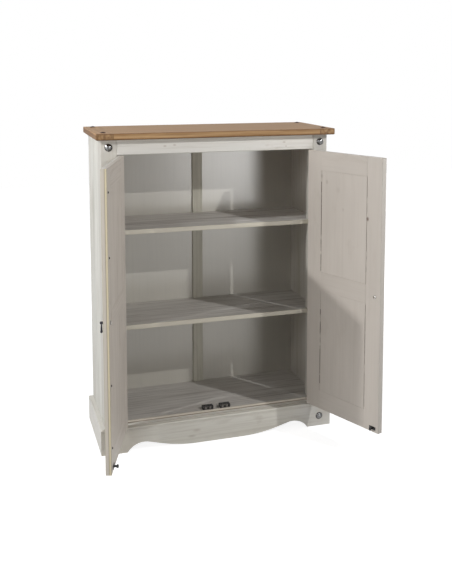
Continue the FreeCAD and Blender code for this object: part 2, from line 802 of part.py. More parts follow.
def catch(word, side):
    centre = signed(side, f"catch_{word}")
    x = (f"({centre} - catch_width / 2)", f"({centre} + catch_width / 2)")
    y = ("catch_front", "(catch_front + catch_depth)")
    shell = box(f"catch_{word}_shell", x, y, ("bottom_top", "(bottom_top + catch_height)"))
    shell = ease(shell, "catch_corner", along("y"), "Part::Fillet")
    bore = box(f"catch_{word}_bore", (f"({x[0]} + catch_end_wall)", f"({x[1]} - catch_end_wall)"), y,
               ("(bottom_top + catch_plate)", "(bottom_top + catch_height - catch_plate)"))
    slots = []
    for way in (-1, 1):
        middle = f"({centre} + {way} * roller_offset)"
        near = "(pip_radius + roller_slack)"
        far = "(pip_radius + roller_slack + roller_travel)"
        ends = (f"{middle} - {near}", f"{middle} + {far}")
        if way < 0:
            ends = (f"{middle} - {far}", f"{middle} + {near}")
        slots.append(box(f"catch_{word}_slot", ends, (f"{ROLLER_Y} - {near}", f"{ROLLER_Y} + {near}"),
                         ("bottom_top", "(bottom_top + catch_height)")))
        low = "(bottom_top + catch_plate + roller_slack)"
        tall = "(catch_height - 2 * catch_plate - 2 * roller_slack)"
        roller = rod(f"roller_{word}", "roller_radius", tall, (middle, ROLLER_Y, low))
        pip = rod(f"pip_{word}", "pip_radius", f"({tall} + 2 * pip_length)",
                  (middle, ROLLER_Y, f"{low} - pip_length"))
        inner = (way < 0) == (side > 0)
        keep(f"catch_{word}_roller_{'inner' if inner else 'outer'}", fuse(f"jaw_{word}", roller, pip))
    keep(f"catch_{word}_housing", cut(shell, bore, *slots))


for word, side in SIDES.items():
    catch(word, side)


# Doors, drawn shut and swung open at the end

MID_LOW = "(mid_rail_centre - mid_rail_height / 2)"
MID_HIGH = "(mid_rail_centre + mid_rail_height / 2)"
LOWER_TOP = f"({DOOR_LOW} + door_rail_height)"
UPPER_TOP = f"({DOOR_HIGH} - door_rail_height)"
GROOVE = ("frame_groove_front", "(frame_groove_front + frame_groove_width)")
STILE_IN = f"({HINGE_EDGE} - stile_width)"
LOCK_IN = f"({LOCK_EDGE} + stile_width)"
PANEL_CHAMFERS = {"panel_chamfer": "YMin", "panel_back_chamfer": "YMax"}


def member(name, x, z, axis):
    piece = box(name, x, ("0", "door_thickness"), z)
    return ease(piece, "stile_chamfer", along(axis))


def door_screws(word, side):
    """Raised-head screws that hold the flat strip, driven from the door's inner face."""
    made = []
    lowest = f"({DOOR_LOW} + strip_screw_low_margin)"
    highest = f"({DOOR_HIGH} - strip_screw_high_margin)"
    levels = (lowest, f"({lowest} + mid_rail_centre) / 2", f"({highest} + mid_rail_centre) / 2", highest)
    for level in levels:
        at = (signed(side, f"{LOCK_EDGE} + strip_screw_inset"), "door_thickness", level)
        head = cone(f"strip_head_{word}", "strip_screw_head", "strip_screw_crown",
                    "strip_screw_head_height", at, "+y")
        shank = rod(f"strip_shank_{word}", "strip_screw_radius", "strip_screw_length", at, "-y")
        made.append(fuse(f"strip_screw_{word}", head, shank))
    return group(f"strip_screws_{word}", *made)


def handle(word, side):
    x = signed(side, f"{LOCK_EDGE} + handle_inset")
    z = "handle_height"
    disc = rod(f"rosette_{word}", "rosette_radius", "rosette_thickness", (x, "0", z), "-y")
    disc = ease(disc, "rosette_chamfer", lambda edge, bounds: lies(edge, "y", bounds.YMin), "Part::Fillet")
    boss = cone(f"boss_{word}", "boss_radius", "handle_post_radius", "boss_height",
                (x, "-rosette_thickness", z), "-y")
    reach = "(rosette_thickness + handle_post_length)"
    stem = rod(f"post_{word}_handle", "handle_post_radius", reach, (x, "0", z), "-y")
    slot = box(f"fork_{word}", (f"{x} - fork_slot / 2", f"{x} + fork_slot / 2"),
               (f"-{reach} - fork_depth", f"-{reach} + fork_depth"),
               (f"{z} - 2 * handle_post_radius", f"{z} + 2 * handle_post_radius"))
    pin_y = f"(-{reach} + handle_pin_inset)"
    pin = rod(f"handle_pin_{word}", "handle_pin_radius", "2 * handle_post_radius",
              (f"{x} - handle_post_radius", pin_y, z), "+x")
    bolt_reach = "(rosette_thickness + boss_height)"
    bolt = rod(f"bolt_{word}", "bolt_radius", f"(door_thickness + {bolt_reach} / 2)",
               (x, f"-{bolt_reach} / 2", z), "+y")
    nut = rod(f"nut_{word}", "nut_radius", "nut_height", (x, "door_thickness", z), "+y")
    nut = ease(nut, "nut_round", lambda edge, bounds: lies(edge, "y", bounds.YMax), "Part::Fillet")
    bolt = keep(f"{word}_handle_bolt", fuse(f"bolt_nut_{word}", bolt, nut), side)
    body = cut(fuse(f"rosette_{word}_solid", disc, boss, stem), slot, pin, bolt)
    keep(f"{word}_handle_rosette", group(f"rosette_set_{word}", body, pin), side)
    tab = rod(f"tab_{word}", "drop_tab_radius", "drop_tab", (f"{x} - drop_tab / 2", pin_y, z), "+x")
    bulb = ball(f"bulb_{word}", "drop_bulb_radius", (x, pin_y, f"{z} - drop_length + drop_bulb_radius"))
    neck = cone(f"neck_{word}", "drop_bulb_radius * drop_foot_share", "drop_neck_radius",
                "drop_length - drop_bulb_radius",
                (x, pin_y, f"{z} - drop_length + drop_bulb_radius * drop_rise_share"))
    eye = rod(f"eye_{word}", "handle_pin_radius + pin_slack", "2 * drop_tab",
              (f"{x} - drop_tab", pin_y, z), "+x")
    room = box(f"drop_room_{word}", (f"{x} - drop_tab / 2", f"{x} + drop_tab / 2"),
               (f"{pin_y} - drop_tab_radius", f"{pin_y} + drop_tab_radius"),
               (f"{z} - handle_post_radius - pin_overhang", f"{z} + drop_tab_radius"))
    slim = doc.addObject("Part::Common", f"drop_slim_{word}")
    slim.Base = neck
    slim.Tool = room
    low_room = box(f"drop_low_{word}", (f"{x} - nut_radius", f"{x} + nut_radius"),
                   (f"{pin_y} - nut_radius", f"{pin_y} + nut_radius"),
                   (f"{z} - drop_length", f"{z} - handle_post_radius - pin_overhang"))
    full = doc.addObject("Part::Common", f"drop_full_{word}")
    full.Base = neck
    full.Tool = low_room
    keep(f"{word}_handle_drop", cut(fuse(f"drop_{word}", tab, slim, full, bulb), eye), side)
    return bolt


def strike(word, side):
    """A spear that the catch's rollers grip, on a small plate."""
    centre = signed(side, f"catch_{word}")
    steps = [("strike_neck / 2", "strike_neck_end"), ("strike_head / 2", "strike_head_start"),
             ("strike_tip / 2", "strike_reach")]
    right = [(f"{centre} + {x}", f"door_thickness + {y}") for x, y in steps]
    left = [(f"{centre} - {x}", f"door_thickness + {y}") for x, y in reversed(steps)]
    head = padded(f"strike_head_{word}", right + left, f"({CATCH_MID} - strike_height / 2)",
                  f"({CATCH_MID} + strike_height / 2)")
    neck = box(f"strike_neck_{word}", (f"{centre} - strike_neck / 2", f"{centre} + strike_neck / 2"),
               ("door_thickness", "door_thickness + strike_neck_end"),
               (f"{CATCH_MID} - strike_neck_height / 2", f"{CATCH_MID} + strike_neck_height / 2"))
    plate = box(f"strike_plate_{word}",
                (f"{centre} - strike_plate_width / 2", f"{centre} + strike_plate_width / 2"),
                ("door_thickness", "door_thickness + strike_plate_thickness"),
                (f"{CATCH_MID} - strike_plate_height / 2", f"{CATCH_MID} + strike_plate_height / 2"))
    plate = ease(plate, "strip_chamfer",
                 lambda edge, bounds: lies(edge, "y", bounds.YMax) or runs(edge, "y"))
    keep(f"{word}_strike", fuse(f"strike_{word}", plate, neck, head), side)


def door(word, side):
    leaves, seats, screws = hinges_of(side, word, False)
    screw_set = group(f"door_screws_{word}", *screws)
    leaf_set = group(f"door_leaf_set_{word}", *[cut(leaf, screw_set) for leaf in leaves])
    keep(f"{word}_hinge_door_leaves", leaf_set, side)
    keep(f"{word}_hinge_door_screws", screw_set, side)
    bolt = handle(word, side)
    strike(word, side)
    whole = (DOOR_LOW, DOOR_HIGH)
    hinge_x = mirrored(side, STILE_IN, HINGE_EDGE)
    lock_x = mirrored(side, LOCK_EDGE, LOCK_IN)
    groove_hinge = box(f"groove_hinge_{word}",
                       mirrored(side, STILE_IN, f"({STILE_IN} + frame_groove_depth)"), GROOVE, whole)
    groove_lock = box(f"groove_lock_{word}",
                      mirrored(side, f"({LOCK_IN} - frame_groove_depth)", LOCK_IN), GROOVE, whole)
    hinge_stile = member(f"{word}_hinge_member", hinge_x, whole, "z")
    keep(f"{word}_door_hinge_stile", cut(hinge_stile, groove_hinge, *seats, screw_set), side)
    lock_tools = [groove_lock, bolt]
    if side < 0:
        strip_x = mirrored(side, LOCK_EDGE, f"({LOCK_EDGE} + strip_width)")
        strip_screws = keep("left_strip_screws", door_screws(word, side), side)
        strip = ease(box("strip", strip_x, ("0", "strip_thickness"), whole), "strip_chamfer", along("z"))
        keep("left_door_edge_strip", cut(strip, strip_screws, bolt), side)
        lock_tools += [box("strip_rebate", strip_x, ("0", "strip_thickness"), whole), strip_screws]
    lock_stile = member(f"{word}_lock_member", lock_x, whole, "z")
    keep(f"{word}_door_lock_stile", cut(lock_stile, *lock_tools), side)

    tongue_x = mirrored(side, f"({LOCK_IN} - frame_groove_depth)", f"({STILE_IN} + frame_groove_depth)")
    between = mirrored(side, LOCK_IN, STILE_IN)
    flanges = {}
    for level, (low, high) in {"lower": (LOWER_TOP, MID_LOW), "upper": (MID_HIGH, UPPER_TOP)}.items():
        flange = box(f"flange_{level}_{word}", tongue_x, GROOVE,
                     (f"({low} - frame_groove_depth)", f"({high} + frame_groove_depth)"))
        flanges[level] = flange
        field_x = mirrored(side, f"({LOCK_IN} + panel_side_gap)", f"({STILE_IN} - panel_side_gap)")
        field = box(f"field_{level}_{word}", field_x, ("panel_front", "door_thickness - panel_back_recess"),
                    (f"({low} + panel_end_gap)", f"({high} - panel_end_gap)"))
        for alias, face in PANEL_CHAMFERS.items():

            def face_edge(edge, bounds, face=face):
                return lies(edge, "y", getattr(bounds, face))

            field = ease(field, alias, face_edge)
        keep(f"{word}_door_{level}_panel", fuse(f"panel_{level}_{word}", field, flange), side)
    rails = {"bottom": (DOOR_LOW, LOWER_TOP), "mid": (MID_LOW, MID_HIGH), "top": (UPPER_TOP, DOOR_HIGH)}
    for level, z in rails.items():
        core = member(f"{word}_{level}_member", between, z, "x")
        stub = box(f"stub_{level}_{word}", tongue_x, GROOVE, z)
        joined = fuse(f"rail_{level}_{word}", core, stub)
        keep(f"{word}_door_{level}_rail", cut(joined, *flanges.values()), side)


for word, side in SIDES.items():
    door(word, side)

doc.recompute()


faults = [o.Label for o in doc.Objects if "Invalid" in o.State or "Error" in o.State]
for label, piece in parts.items():
    if piece.Shape.isNull() or not piece.Shape.isValid() or not piece.Shape.Solids:
        faults.append(label)
if faults:
    raise RuntimeError("failed pieces: " + ", ".join(faults))

os.makedirs("parts", exist_ok=True)
for label, piece in parts.items():
    piece.Shape.exportStep(f"parts/{label}.step")
print(len(parts), "nodes written")
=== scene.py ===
import math

import bmesh
import bpy
from mathutils import Matrix, Vector


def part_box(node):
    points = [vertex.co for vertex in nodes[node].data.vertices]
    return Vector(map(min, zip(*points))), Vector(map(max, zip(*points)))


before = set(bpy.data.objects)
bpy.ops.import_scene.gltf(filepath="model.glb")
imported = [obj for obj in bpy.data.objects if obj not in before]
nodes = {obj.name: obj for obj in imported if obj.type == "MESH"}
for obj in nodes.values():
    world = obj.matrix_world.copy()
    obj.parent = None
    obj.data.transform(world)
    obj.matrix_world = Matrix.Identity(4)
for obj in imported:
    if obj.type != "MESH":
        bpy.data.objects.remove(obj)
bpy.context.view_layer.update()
print("frame loaded:", len(nodes), "nodes")


# Colours and node trees

screenCurve = {"knee": 0.04045, "slope": 12.92, "lift": 0.055, "power": 2.4}


def paint(red, green, blue):
    # takes 0-255 screen values, gives the linear colour that a shader wants
    made = []
    for part in (red / 255, green / 255, blue / 255):
        if part <= screenCurve["knee"]:
            made.append(part / screenCurve["slope"])
        else:
            lifted = (part + screenCurve["lift"]) / (1 + screenCurve["lift"])
            made.append(lifted ** screenCurve["power"])
    return (*made, 1.0)


def startMaterial(name):
    material = bpy.data.materials.new(name)
    material.use_nodes = True
    tree = material.node_tree
    tree.nodes.clear()
    output = tree.nodes.new("ShaderNodeOutputMaterial")
    shader = tree.nodes.new("ShaderNodeBsdfPrincipled")
    tree.links.new(shader.outputs[0], output.inputs[0])
    return material, tree, shader


def objectSpace(tree):
    return tree.nodes.new("ShaderNodeTexCoord").outputs["Object"]


def grainSpace(tree, turn, shift):
    # object coordinates turned so that the grain runs along X
    turned = tree.nodes.new("ShaderNodeMapping")
    turned.inputs["Location"].default_value = shift
    turned.inputs["Rotation"].default_value = turn
    tree.links.new(objectSpace(tree), turned.inputs["Vector"])
    return turned.outputs["Vector"]


def stretched(tree, vector, scale):
    mapping = tree.nodes.new("ShaderNodeMapping")
    mapping.inputs["Scale"].default_value = scale
    tree.links.new(vector, mapping.inputs["Vector"])
    return mapping.outputs["Vector"]


def noise(tree, vector, scale, detail, rough=0.55, distortion=0.0):
    node = tree.nodes.new("ShaderNodeTexNoise")
    node.inputs["Scale"].default_value = scale
    node.inputs["Detail"].default_value = detail
    node.inputs["Roughness"].default_value = rough
    node.inputs["Distortion"].default_value = distortion
    tree.links.new(vector, node.inputs["Vector"])
    return node.outputs["Fac"]


def spread(tree, value, low, high, toLow=0.0, toHigh=1.0):
    node = tree.nodes.new("ShaderNodeMapRange")
    node.inputs["From Min"].default_value = low
    node.inputs["From Max"].default_value = high
    node.inputs["To Min"].default_value = toLow
    node.inputs["To Max"].default_value = toHigh
    tree.links.new(value, node.inputs["Value"])
    return node.outputs["Result"]


def combine(tree, kind, first, second):
    node = tree.nodes.new("ShaderNodeMath")
    node.operation = kind
    for socket, item in zip(node.inputs, (first, second)):
        if isinstance(item, float):
            socket.default_value = item
        else:
            tree.links.new(item, socket)
    return node.outputs[0]


def tint(tree, amount, first, second):
    # goes from the first colour to the second as the amount grows
    node = tree.nodes.new("ShaderNodeMix")
    node.data_type = "RGBA"
    tree.links.new(amount, node.inputs["Factor"])
    for name, item in (("A", first), ("B", second)):
        socket = next(s for s in node.inputs if s.name == name and s.type == "RGBA")
        if isinstance(item, tuple):
            socket.default_value = item
        else:
            tree.links.new(item, socket)
    return next(s for s in node.outputs if s.type == "RGBA")


def raised(tree, shader, height, strength, distance):
    node = tree.nodes.new("ShaderNodeBump")
    node.inputs["Strength"].default_value = strength
    node.inputs["Distance"].default_value = distance
    tree.links.new(height, node.inputs["Height"])
    tree.links.new(node.outputs["Normal"], shader.inputs["Normal"])


hinges = {  # the pins, and how far each door stands open in degrees
    "left": {"pin": (-0.38, -0.004, 0.0), "open": -107.7},
    "right": {"pin": (0.38, -0.004, 0.0), "open": 112.1},
}


def doorSpace(tree, side):
    # object coordinates from the hinge pin, turned back as if the door were shut
    shut = tree.nodes.new("ShaderNodeMapping")
    shut.vector_type = "TEXTURE"
    shut.inputs["Location"].default_value = hinges[side]["pin"]
    shut.inputs["Rotation"].default_value = (0.0, 0.0, math.radians(hinges[side]["open"]))
    tree.links.new(objectSpace(tree), shut.inputs["Vector"])
    return shut.outputs["Vector"]


def spaceOf(tree, mark):
    return doorSpace(tree, mark["door"]) if "door" in mark else objectSpace(tree)


def away(tree, space, point, squeeze):
    # distance from a point, after each axis is multiplied by squeeze
    offset = tree.nodes.new("ShaderNodeVectorMath")
    offset.operation = "SUBTRACT"
    offset.inputs[1].default_value = point
    tree.links.new(space, offset.inputs[0])
    scaled = tree.nodes.new("ShaderNodeVectorMath")
    scaled.operation = "MULTIPLY"
    scaled.inputs[1].default_value = squeeze
    tree.links.new(offset.outputs[0], scaled.inputs[0])
    length = tree.nodes.new("ShaderNodeVectorMath")
    length.operation = "LENGTH"
    tree.links.new(scaled.outputs[0], length.inputs[0])
    return length.outputs["Value"]


# Wood

uprightTurn = (0.0, math.radians(90), 0.0)
levelTurn = (0.0, 0.0, 0.0)
depthTurn = (0.0, 0.0, math.radians(-90))

# each layer's stretch along and across the grain, its noise, and the span of it that shows;
# how far the streak is stretched across comes from the look
washedGrain = {
    "cloud": {"along": 1.0, "across": 3.6, "scale": 2.2, "detail": 3.0, "rough": 0.5,
              "distortion": 0.4, "span": (0.4, 0.62)},
    "streak": {"along": 1.1, "scale": 2.1, "detail": 5.0, "rough": 0.6, "distortion": 0.5,
               "span": (0.48, 0.72)},
    "smear": {"along": 2.0, "across": 6.0, "scale": 2.4, "detail": 3.0, "rough": 0.6,
              "distortion": 1.4, "span": (0.58, 0.74)},
    "line": {"along": 3.0, "across": 120.0, "scale": 1.0, "detail": 4.0, "rough": 0.65,
             "distortion": 0.0, "span": (0.5, 0.72)},
}
washedLook = {
    "body": paint(224, 221, 214),
    "pale": paint(232, 230, 224),
    "streak": paint(196, 190, 178),
    "smear": paint(186, 177, 164),
    "line": paint(180, 172, 158),
    "knot": paint(160, 140, 122),
    "cloudAmount": 0.7,
    "streakAmount": 0.36,
    "smearAmount": 0.45,
    "lineAmount": 0.36,
    "knotAmount": 0.4,
    "streakAcross": 26.0,
    "roughness": (0.45, 0.62),
    "roughSpan": (0.3, 0.7),
    "gloss": 0.4,
    "bump": 0.14,
    "bumpDepth": 0.0006,
}
sideLook = dict(
    washedLook, body=paint(214, 213, 205), streak=paint(184, 180, 166), line=paint(166, 160, 146),
    streakAcross=11.0, streakAmount=0.75, smearAmount=0.3, lineAmount=0.7, bump=0.2)
postLook = dict(washedLook, body=paint(200, 197, 190), pale=paint(209, 206, 199), lineAmount=0.5)
insideLook = dict(
    washedLook, body=paint(211, 203, 194), pale=paint(217, 209, 200), streak=paint(194, 184, 173),
    smear=paint(190, 179, 167), line=paint(190, 180, 169), streakAmount=0.16, smearAmount=0.25,
    lineAmount=0.16, knotAmount=0.0, bump=0.05)
# a darker copy of the inside look for the left door: painted shade on its inner face
shadedInsideLook = dict(
    insideLook, body=paint(202, 194, 185), pale=paint(208, 200, 191), streak=paint(184, 174, 162),
    smear=paint(172, 160, 147), line=paint(164, 153, 140), streakAmount=0.4, smearAmount=0.4,
    lineAmount=0.45)
backLook = dict(
    washedLook, body=paint(188, 184, 174), pale=paint(192, 188, 178), streak=paint(176, 173, 165),
    line=paint(170, 166, 157), streakAmount=0.1, smearAmount=0.0, lineAmount=0.2, knotAmount=0.0,
    roughness=(0.275, 0.28), gloss=1.0, bump=0.0,
    dull={  # the outside of the back isn't polished
        "at": (0.0, 0.339, 0.0), "squeeze": (0.0, 1.0, 0.0), "span": (0.001, 0.003),
        "roughness": 0.62, "gloss": 0.4,
    })
battenLook = dict(
    washedLook, body=paint(186, 182, 168), pale=paint(197, 194, 181), streak=paint(160, 154, 139),
    smear=paint(163, 156, 140), line=paint(140, 133, 117), streakAmount=0.5, lineAmount=0.5,
    knotAmount=0.0)
shelfLook = dict(
    washedLook, body=paint(220, 217, 213), pale=paint(228, 226, 222), streak=paint(170, 164, 158),
    smear=paint(186, 180, 174), line=paint(138, 132, 126), streakAcross=18.0, streakAmount=0.75,
    smearAmount=0.3, lineAmount=0.8, knotAmount=0.0, bump=0.1)
# the lower shelf and the bottom board are painted darker than the upper shelf: painted shade, as
# they sit lower in the cupboard
shadedLowShelfLook = dict(shelfLook, body=paint(200, 196, 191), pale=paint(207, 204, 199))
plinthLook = dict(washedLook, body=paint(225, 221, 210), pale=paint(232, 229, 220))

knots = {"stretch": (2.4, 5.5, 5.5), "scale": 1.0, "chosen": (0.8, 0.82), "ring": (0.03, 0.16)}
dashes = {"across": 4.0, "scale": 1.0, "detail": 2.0, "span": (0.36, 0.5)}
markCore = 0.3  # the share of a mark's reach that has its full colour
markEnd = (0.99, 1.0)  # how sharply a line stops at its ends


def grainNoise(tree, space, layer):
    vector = stretched(tree, space, (layer["along"], layer["across"], layer["across"]))
    return noise(tree, vector, layer["scale"], layer["detail"], layer["rough"], layer["distortion"])


def addKnots(tree, space, colour, look):
    # a few cells across the grain are chosen, and each has a knot in its middle
    cells = tree.nodes.new("ShaderNodeTexVoronoi")
    cells.inputs["Scale"].default_value = knots["scale"]
    tree.links.new(stretched(tree, space, knots["stretch"]), cells.inputs["Vector"])
    split = tree.nodes.new("ShaderNodeSeparateColor")
    tree.links.new(cells.outputs["Color"], split.inputs[0])
    chosen = spread(tree, split.outputs[0], *knots["chosen"])
    ring = spread(tree, cells.outputs["Distance"], *knots["ring"], 1.0, 0.0)
    knot = combine(tree, "MULTIPLY", combine(tree, "MULTIPLY", chosen, ring), look["knotAmount"])
    return tint(tree, knot, colour, look["knot"])


def addMarks(tree, colour, marks):
    # each mark is a soft spot or line: a point, a squeeze per axis, a reach, a colour and an amount;
    # a broken one is dashed, and one between two heights stops there
    for mark in marks:
        space = spaceOf(tree, mark)
        reach = away(tree, space, mark["at"], mark["squeeze"])
        core = mark["reach"] * mark.get("core", markCore)
        amount = spread(tree, reach, core, mark["reach"], mark["amount"], 0.0)
        if "broken" in mark:
            along = stretched(tree, space, (dashes["across"], dashes["across"], mark["broken"]))
            gaps = noise(tree, along, dashes["scale"], dashes["detail"])
            amount = combine(tree, "MULTIPLY", amount, spread(tree, gaps, *dashes["span"]))
        if "between" in mark:
            low, high = mark["between"]
            middle = (0.0, 0.0, (low + high) / 2)
            reach = away(tree, space, middle, (0.0, 0.0, 2 / (high - low)))
            amount = combine(tree, "MULTIPLY", amount, spread(tree, reach, *markEnd, 1.0, 0.0))
        colour = tint(tree, amount, colour, mark["colour"])
    return colour


def washedPine(name, look, turn, shift, marks=(), under=()):
    # body, marks under the grain, three layers of grain, knots, and marks over it all
    material, tree, shader = startMaterial(name)
    space = grainSpace(tree, turn, shift)
    layers = dict(washedGrain, streak=dict(washedGrain["streak"], across=look["streakAcross"]))
    grain = {layer: grainNoise(tree, space, shape) for layer, shape in layers.items()}
    amount = spread(tree, grain["cloud"], *layers["cloud"]["span"], 0.0, look["cloudAmount"])
    colour = addMarks(tree, tint(tree, amount, look["body"], look["pale"]), under)
    for layer in ("streak", "smear", "line"):
        span = layers[layer]["span"]
        amount = spread(tree, grain[layer], *span, 0.0, look[layer + "Amount"])
        colour = tint(tree, amount, colour, look[layer])
    if look["knotAmount"]:
        colour = addKnots(tree, space, colour, look)
    tree.links.new(addMarks(tree, colour, marks), shader.inputs["Base Color"])
    if "dull" in look:
        dull = look["dull"]
        reach = away(tree, objectSpace(tree), dull["at"], dull["squeeze"])
        gloss = spread(tree, reach, *dull["span"], dull["gloss"], look["gloss"])
        rough = spread(tree, reach, *dull["span"], dull["roughness"], look["roughness"][1])
        tree.links.new(gloss, shader.inputs["Specular IOR Level"])
    else:
        shader.inputs["Specular IOR Level"].default_value = look["gloss"]
        rough = spread(tree, grain["cloud"], *look["roughSpan"], *look["roughness"])
    tree.links.new(rough, shader.inputs["Roughness"])
    raised(tree, shader, grain["line"], look["bump"], look["bumpDepth"])
    return material


waxLook = {
    "body": paint(148, 112, 73),
    "pale": paint(190, 156, 115),
    "late": paint(100, 68, 40),
    "rings": {"stretch": (0.5, 2.2, 2.2), "scale": 5.0, "distortion": 7.0, "detail": 3.0,
              "detailScale": 1.1, "span": (0.45, 1.0), "amount": 0.6},
    "broad": {"along": 1.6, "across": 34.0, "scale": 2.0, "detail": 5.0, "rough": 0.55,
              "distortion": 0.0, "span": (0.38, 0.66), "amount": 0.9},
    "fine": {"along": 4.0, "across": 130.0, "scale": 1.0, "detail": 4.0, "rough": 0.65,
             "distortion": 0.0, "span": (0.5, 0.72), "amount": 0.7},
    "roughness": (0.5, 0.62),
    "roughSpan": (0.3, 0.7),
    "gloss": 0.2,
    "bump": 0.15,
    "bumpDepth": 0.0005,
}


def growthRings(tree, space, look):
    rings = tree.nodes.new("ShaderNodeTexWave")
    rings.bands_direction = "Y"
    rings.inputs["Scale"].default_value = look["scale"]
    rings.inputs["Distortion"].default_value = look["distortion"]
    rings.inputs["Detail"].default_value = look["detail"]
    rings.inputs["Detail Scale"].default_value = look["detailScale"]
    tree.links.new(stretched(tree, space, look["stretch"]), rings.inputs["Vector"])
    return rings.outputs["Fac"]


def waxedPine(name, look, turn, shift, marks=()):
    material, tree, shader = startMaterial(name)
    space = grainSpace(tree, turn, shift)
    grain = {
        "broad": grainNoise(tree, space, look["broad"]),
        "rings": growthRings(tree, space, look["rings"]),
        "fine": grainNoise(tree, space, look["fine"]),
    }
    colour = look["body"]
    for layer, tone in (("broad", "pale"), ("rings", "late"), ("fine", "late")):
        amount = spread(tree, grain[layer], *look[layer]["span"], 0.0, look[layer]["amount"])
        colour = tint(tree, amount, colour, look[tone])
    tree.links.new(addMarks(tree, colour, marks), shader.inputs["Base Color"])
    rough = spread(tree, grain["broad"], *look["roughSpan"], *look["roughness"])
    tree.links.new(rough, shader.inputs["Roughness"])
    shader.inputs["Specular IOR Level"].default_value = look["gloss"]
    height = combine(tree, "ADD", grain["fine"], grain["rings"])
    raised(tree, shader, height, look["bump"], look["bumpDepth"])
    return material


# Metals and plastic

metalLook = {  # what they all share, unless a piece has its own
    "metallic": 1.0, "detail": 4.0, "rough": 0.6, "toneSpan": (0.4, 0.75), "roughSpan": (0.3, 0.8),
    "fine": 2.2, "fineDetail": 3.0, "bumpDepth": 0.0004, "rim": None,
}


def addRim(tree, colour, rim):
    # darkens what lies farther than a radius from the nearest of some centres
    space = spaceOf(tree, rim)
    nearest = None
    for point in rim["at"]:
        reach = away(tree, space, point, rim["squeeze"])
        nearest = reach if nearest is None else combine(tree, "MINIMUM", nearest, reach)
    return tint(tree, spread(tree, nearest, *rim["span"], 0.0, rim["amount"]), colour, rim["colour"])


def metal(name, **own):
    look = dict(metalLook, **own)
    material, tree, shader = startMaterial(name)
    space = objectSpace(tree)
    cloud = noise(tree, space, look["grain"], look["detail"], look["rough"])
    tone = tint(tree, spread(tree, cloud, *look["toneSpan"]), look["colour"], look["dark"])
    if look["rim"]:
        tone = addRim(tree, tone, look["rim"])
    tree.links.new(tone, shader.inputs["Base Color"])
    rough = spread(tree, cloud, *look["roughSpan"], *look["roughness"])
    tree.links.new(rough, shader.inputs["Roughness"])
    shader.inputs["Metallic"].default_value = look["metallic"]
    fine = noise(tree, space, look["grain"] * look["fine"], look["fineDetail"])
    raised(tree, shader, fine, look["bump"], look["bumpDepth"])
    return material


studs = {"side": 0.4105, "high": 1.145, "low": 0.041}
# a dark ring painted round each front stud: painted reflection at the dome's edge
studRimReflection = {
    "at": [(x, 0.0, z) for x in (-studs["side"], studs["side"])
           for z in (studs["high"], studs["low"])],
    "squeeze": (1.0, 0.0, 1.0), "span": (0.0095, 0.0125), "amount": 0.9, "colour": paint(50, 48, 46),
}
bolts = {"side": 0.351, "high": 0.607}
# a dark ring painted round each handle nut: painted shadow round its edge
nutShadowRims = {
    side: {
        "door": side, "at": [(x, 0.0, bolts["high"])], "squeeze": (1.0, 0.0, 1.0),
        "span": (0.0058, 0.0063), "amount": 0.9, "colour": paint(70, 67, 64),
    }
    for side, x in (("left", bolts["side"]), ("right", -bolts["side"]))
}
silvered = metal("silveredStud", colour=paint(122, 122, 122), dark=paint(96, 96, 95),
                 roughness=(0.16, 0.26), grain=160.0, bump=0.08, rim=studRimReflection)
bronze = metal("brownedStud", colour=paint(74, 48, 34), dark=paint(50, 32, 23),
               roughness=(0.35, 0.5), grain=240.0, bump=0.3, metallic=0.8)
iron = metal("waxedIron", colour=paint(66, 64, 70), dark=paint(38, 37, 41),
             roughness=(0.26, 0.42), grain=240.0, bump=0.4, metallic=0.9)
hingeSteel = metal("hingeSteel", colour=paint(186, 184, 180), dark=paint(150, 148, 144),
                   roughness=(0.28, 0.45), grain=120.0, bump=0.05)
zinc = metal("zincScrew", colour=paint(206, 204, 200), dark=paint(150, 148, 144),
             roughness=(0.16, 0.3), grain=400.0, bump=0.06)
nuts = {
    side: metal(f"{side}PolishedNut", colour=paint(238, 236, 232), dark=paint(214, 212, 208),
                roughness=(0.2, 0.3), grain=400.0, bump=0.05, rim=rim)
    for side, rim in nutShadowRims.items()
}
darkScrew = metal("darkScrew", colour=paint(40, 34, 29), dark=paint(28, 24, 21),
                  roughness=(0.45, 0.6), grain=400.0, bump=0.1, metallic=0.2)
blackSteel = metal("blackLacquer", colour=paint(22, 21, 21), dark=paint(14, 13, 13),
                   roughness=(0.3, 0.45), grain=200.0, bump=0.1, metallic=0.0)
rollerGrey = metal("greyRoller", colour=paint(112, 108, 104), dark=paint(90, 87, 84),
                   roughness=(0.4, 0.55), grain=350.0, bump=0.08, metallic=0.0)
print("metals and plastic made")


# Marks on the carcase, in metres from the middle of its front at floor level

# the inner faces of the sides are painted darker than the outer ones: painted shade inside the
# cupboard
sideInnerShade = {
    side: [{"at": (x, 0.0, 0.0), "squeeze": (1.0, 0.0, 0.0), "reach": 0.014, "core": 0.9,
            "amount": 0.9, "colour": paint(197, 192, 185)}]
    for side, x in (("left", -0.419), ("right", 0.419))
}
railMarks = [
    {"at": (x, 0.0, z), "squeeze": (1.0, 0.0, 1.6), "reach": reach, "amount": amount,
     "colour": paint(150, 128, 108)}
    for x, z, reach, amount in (
        (-0.168, 1.148, 0.008, 0.35), (-0.204, 1.145, 0.008, 0.35),
        (0.262, 1.147, 0.008, 0.4), (0.27, 1.131, 0.006, 0.35))
]
plinthMarks = [
    {"at": (x, 0.0, z), "squeeze": (0.6, 0.0, 1.8), "reach": reach, "amount": 0.3,
     "colour": paint(150, 130, 110)}
    for x, z, reach in ((-0.094, 0.05, 0.012), (-0.114, 0.029, 0.012), (0.287, 0.009, 0.01))
]
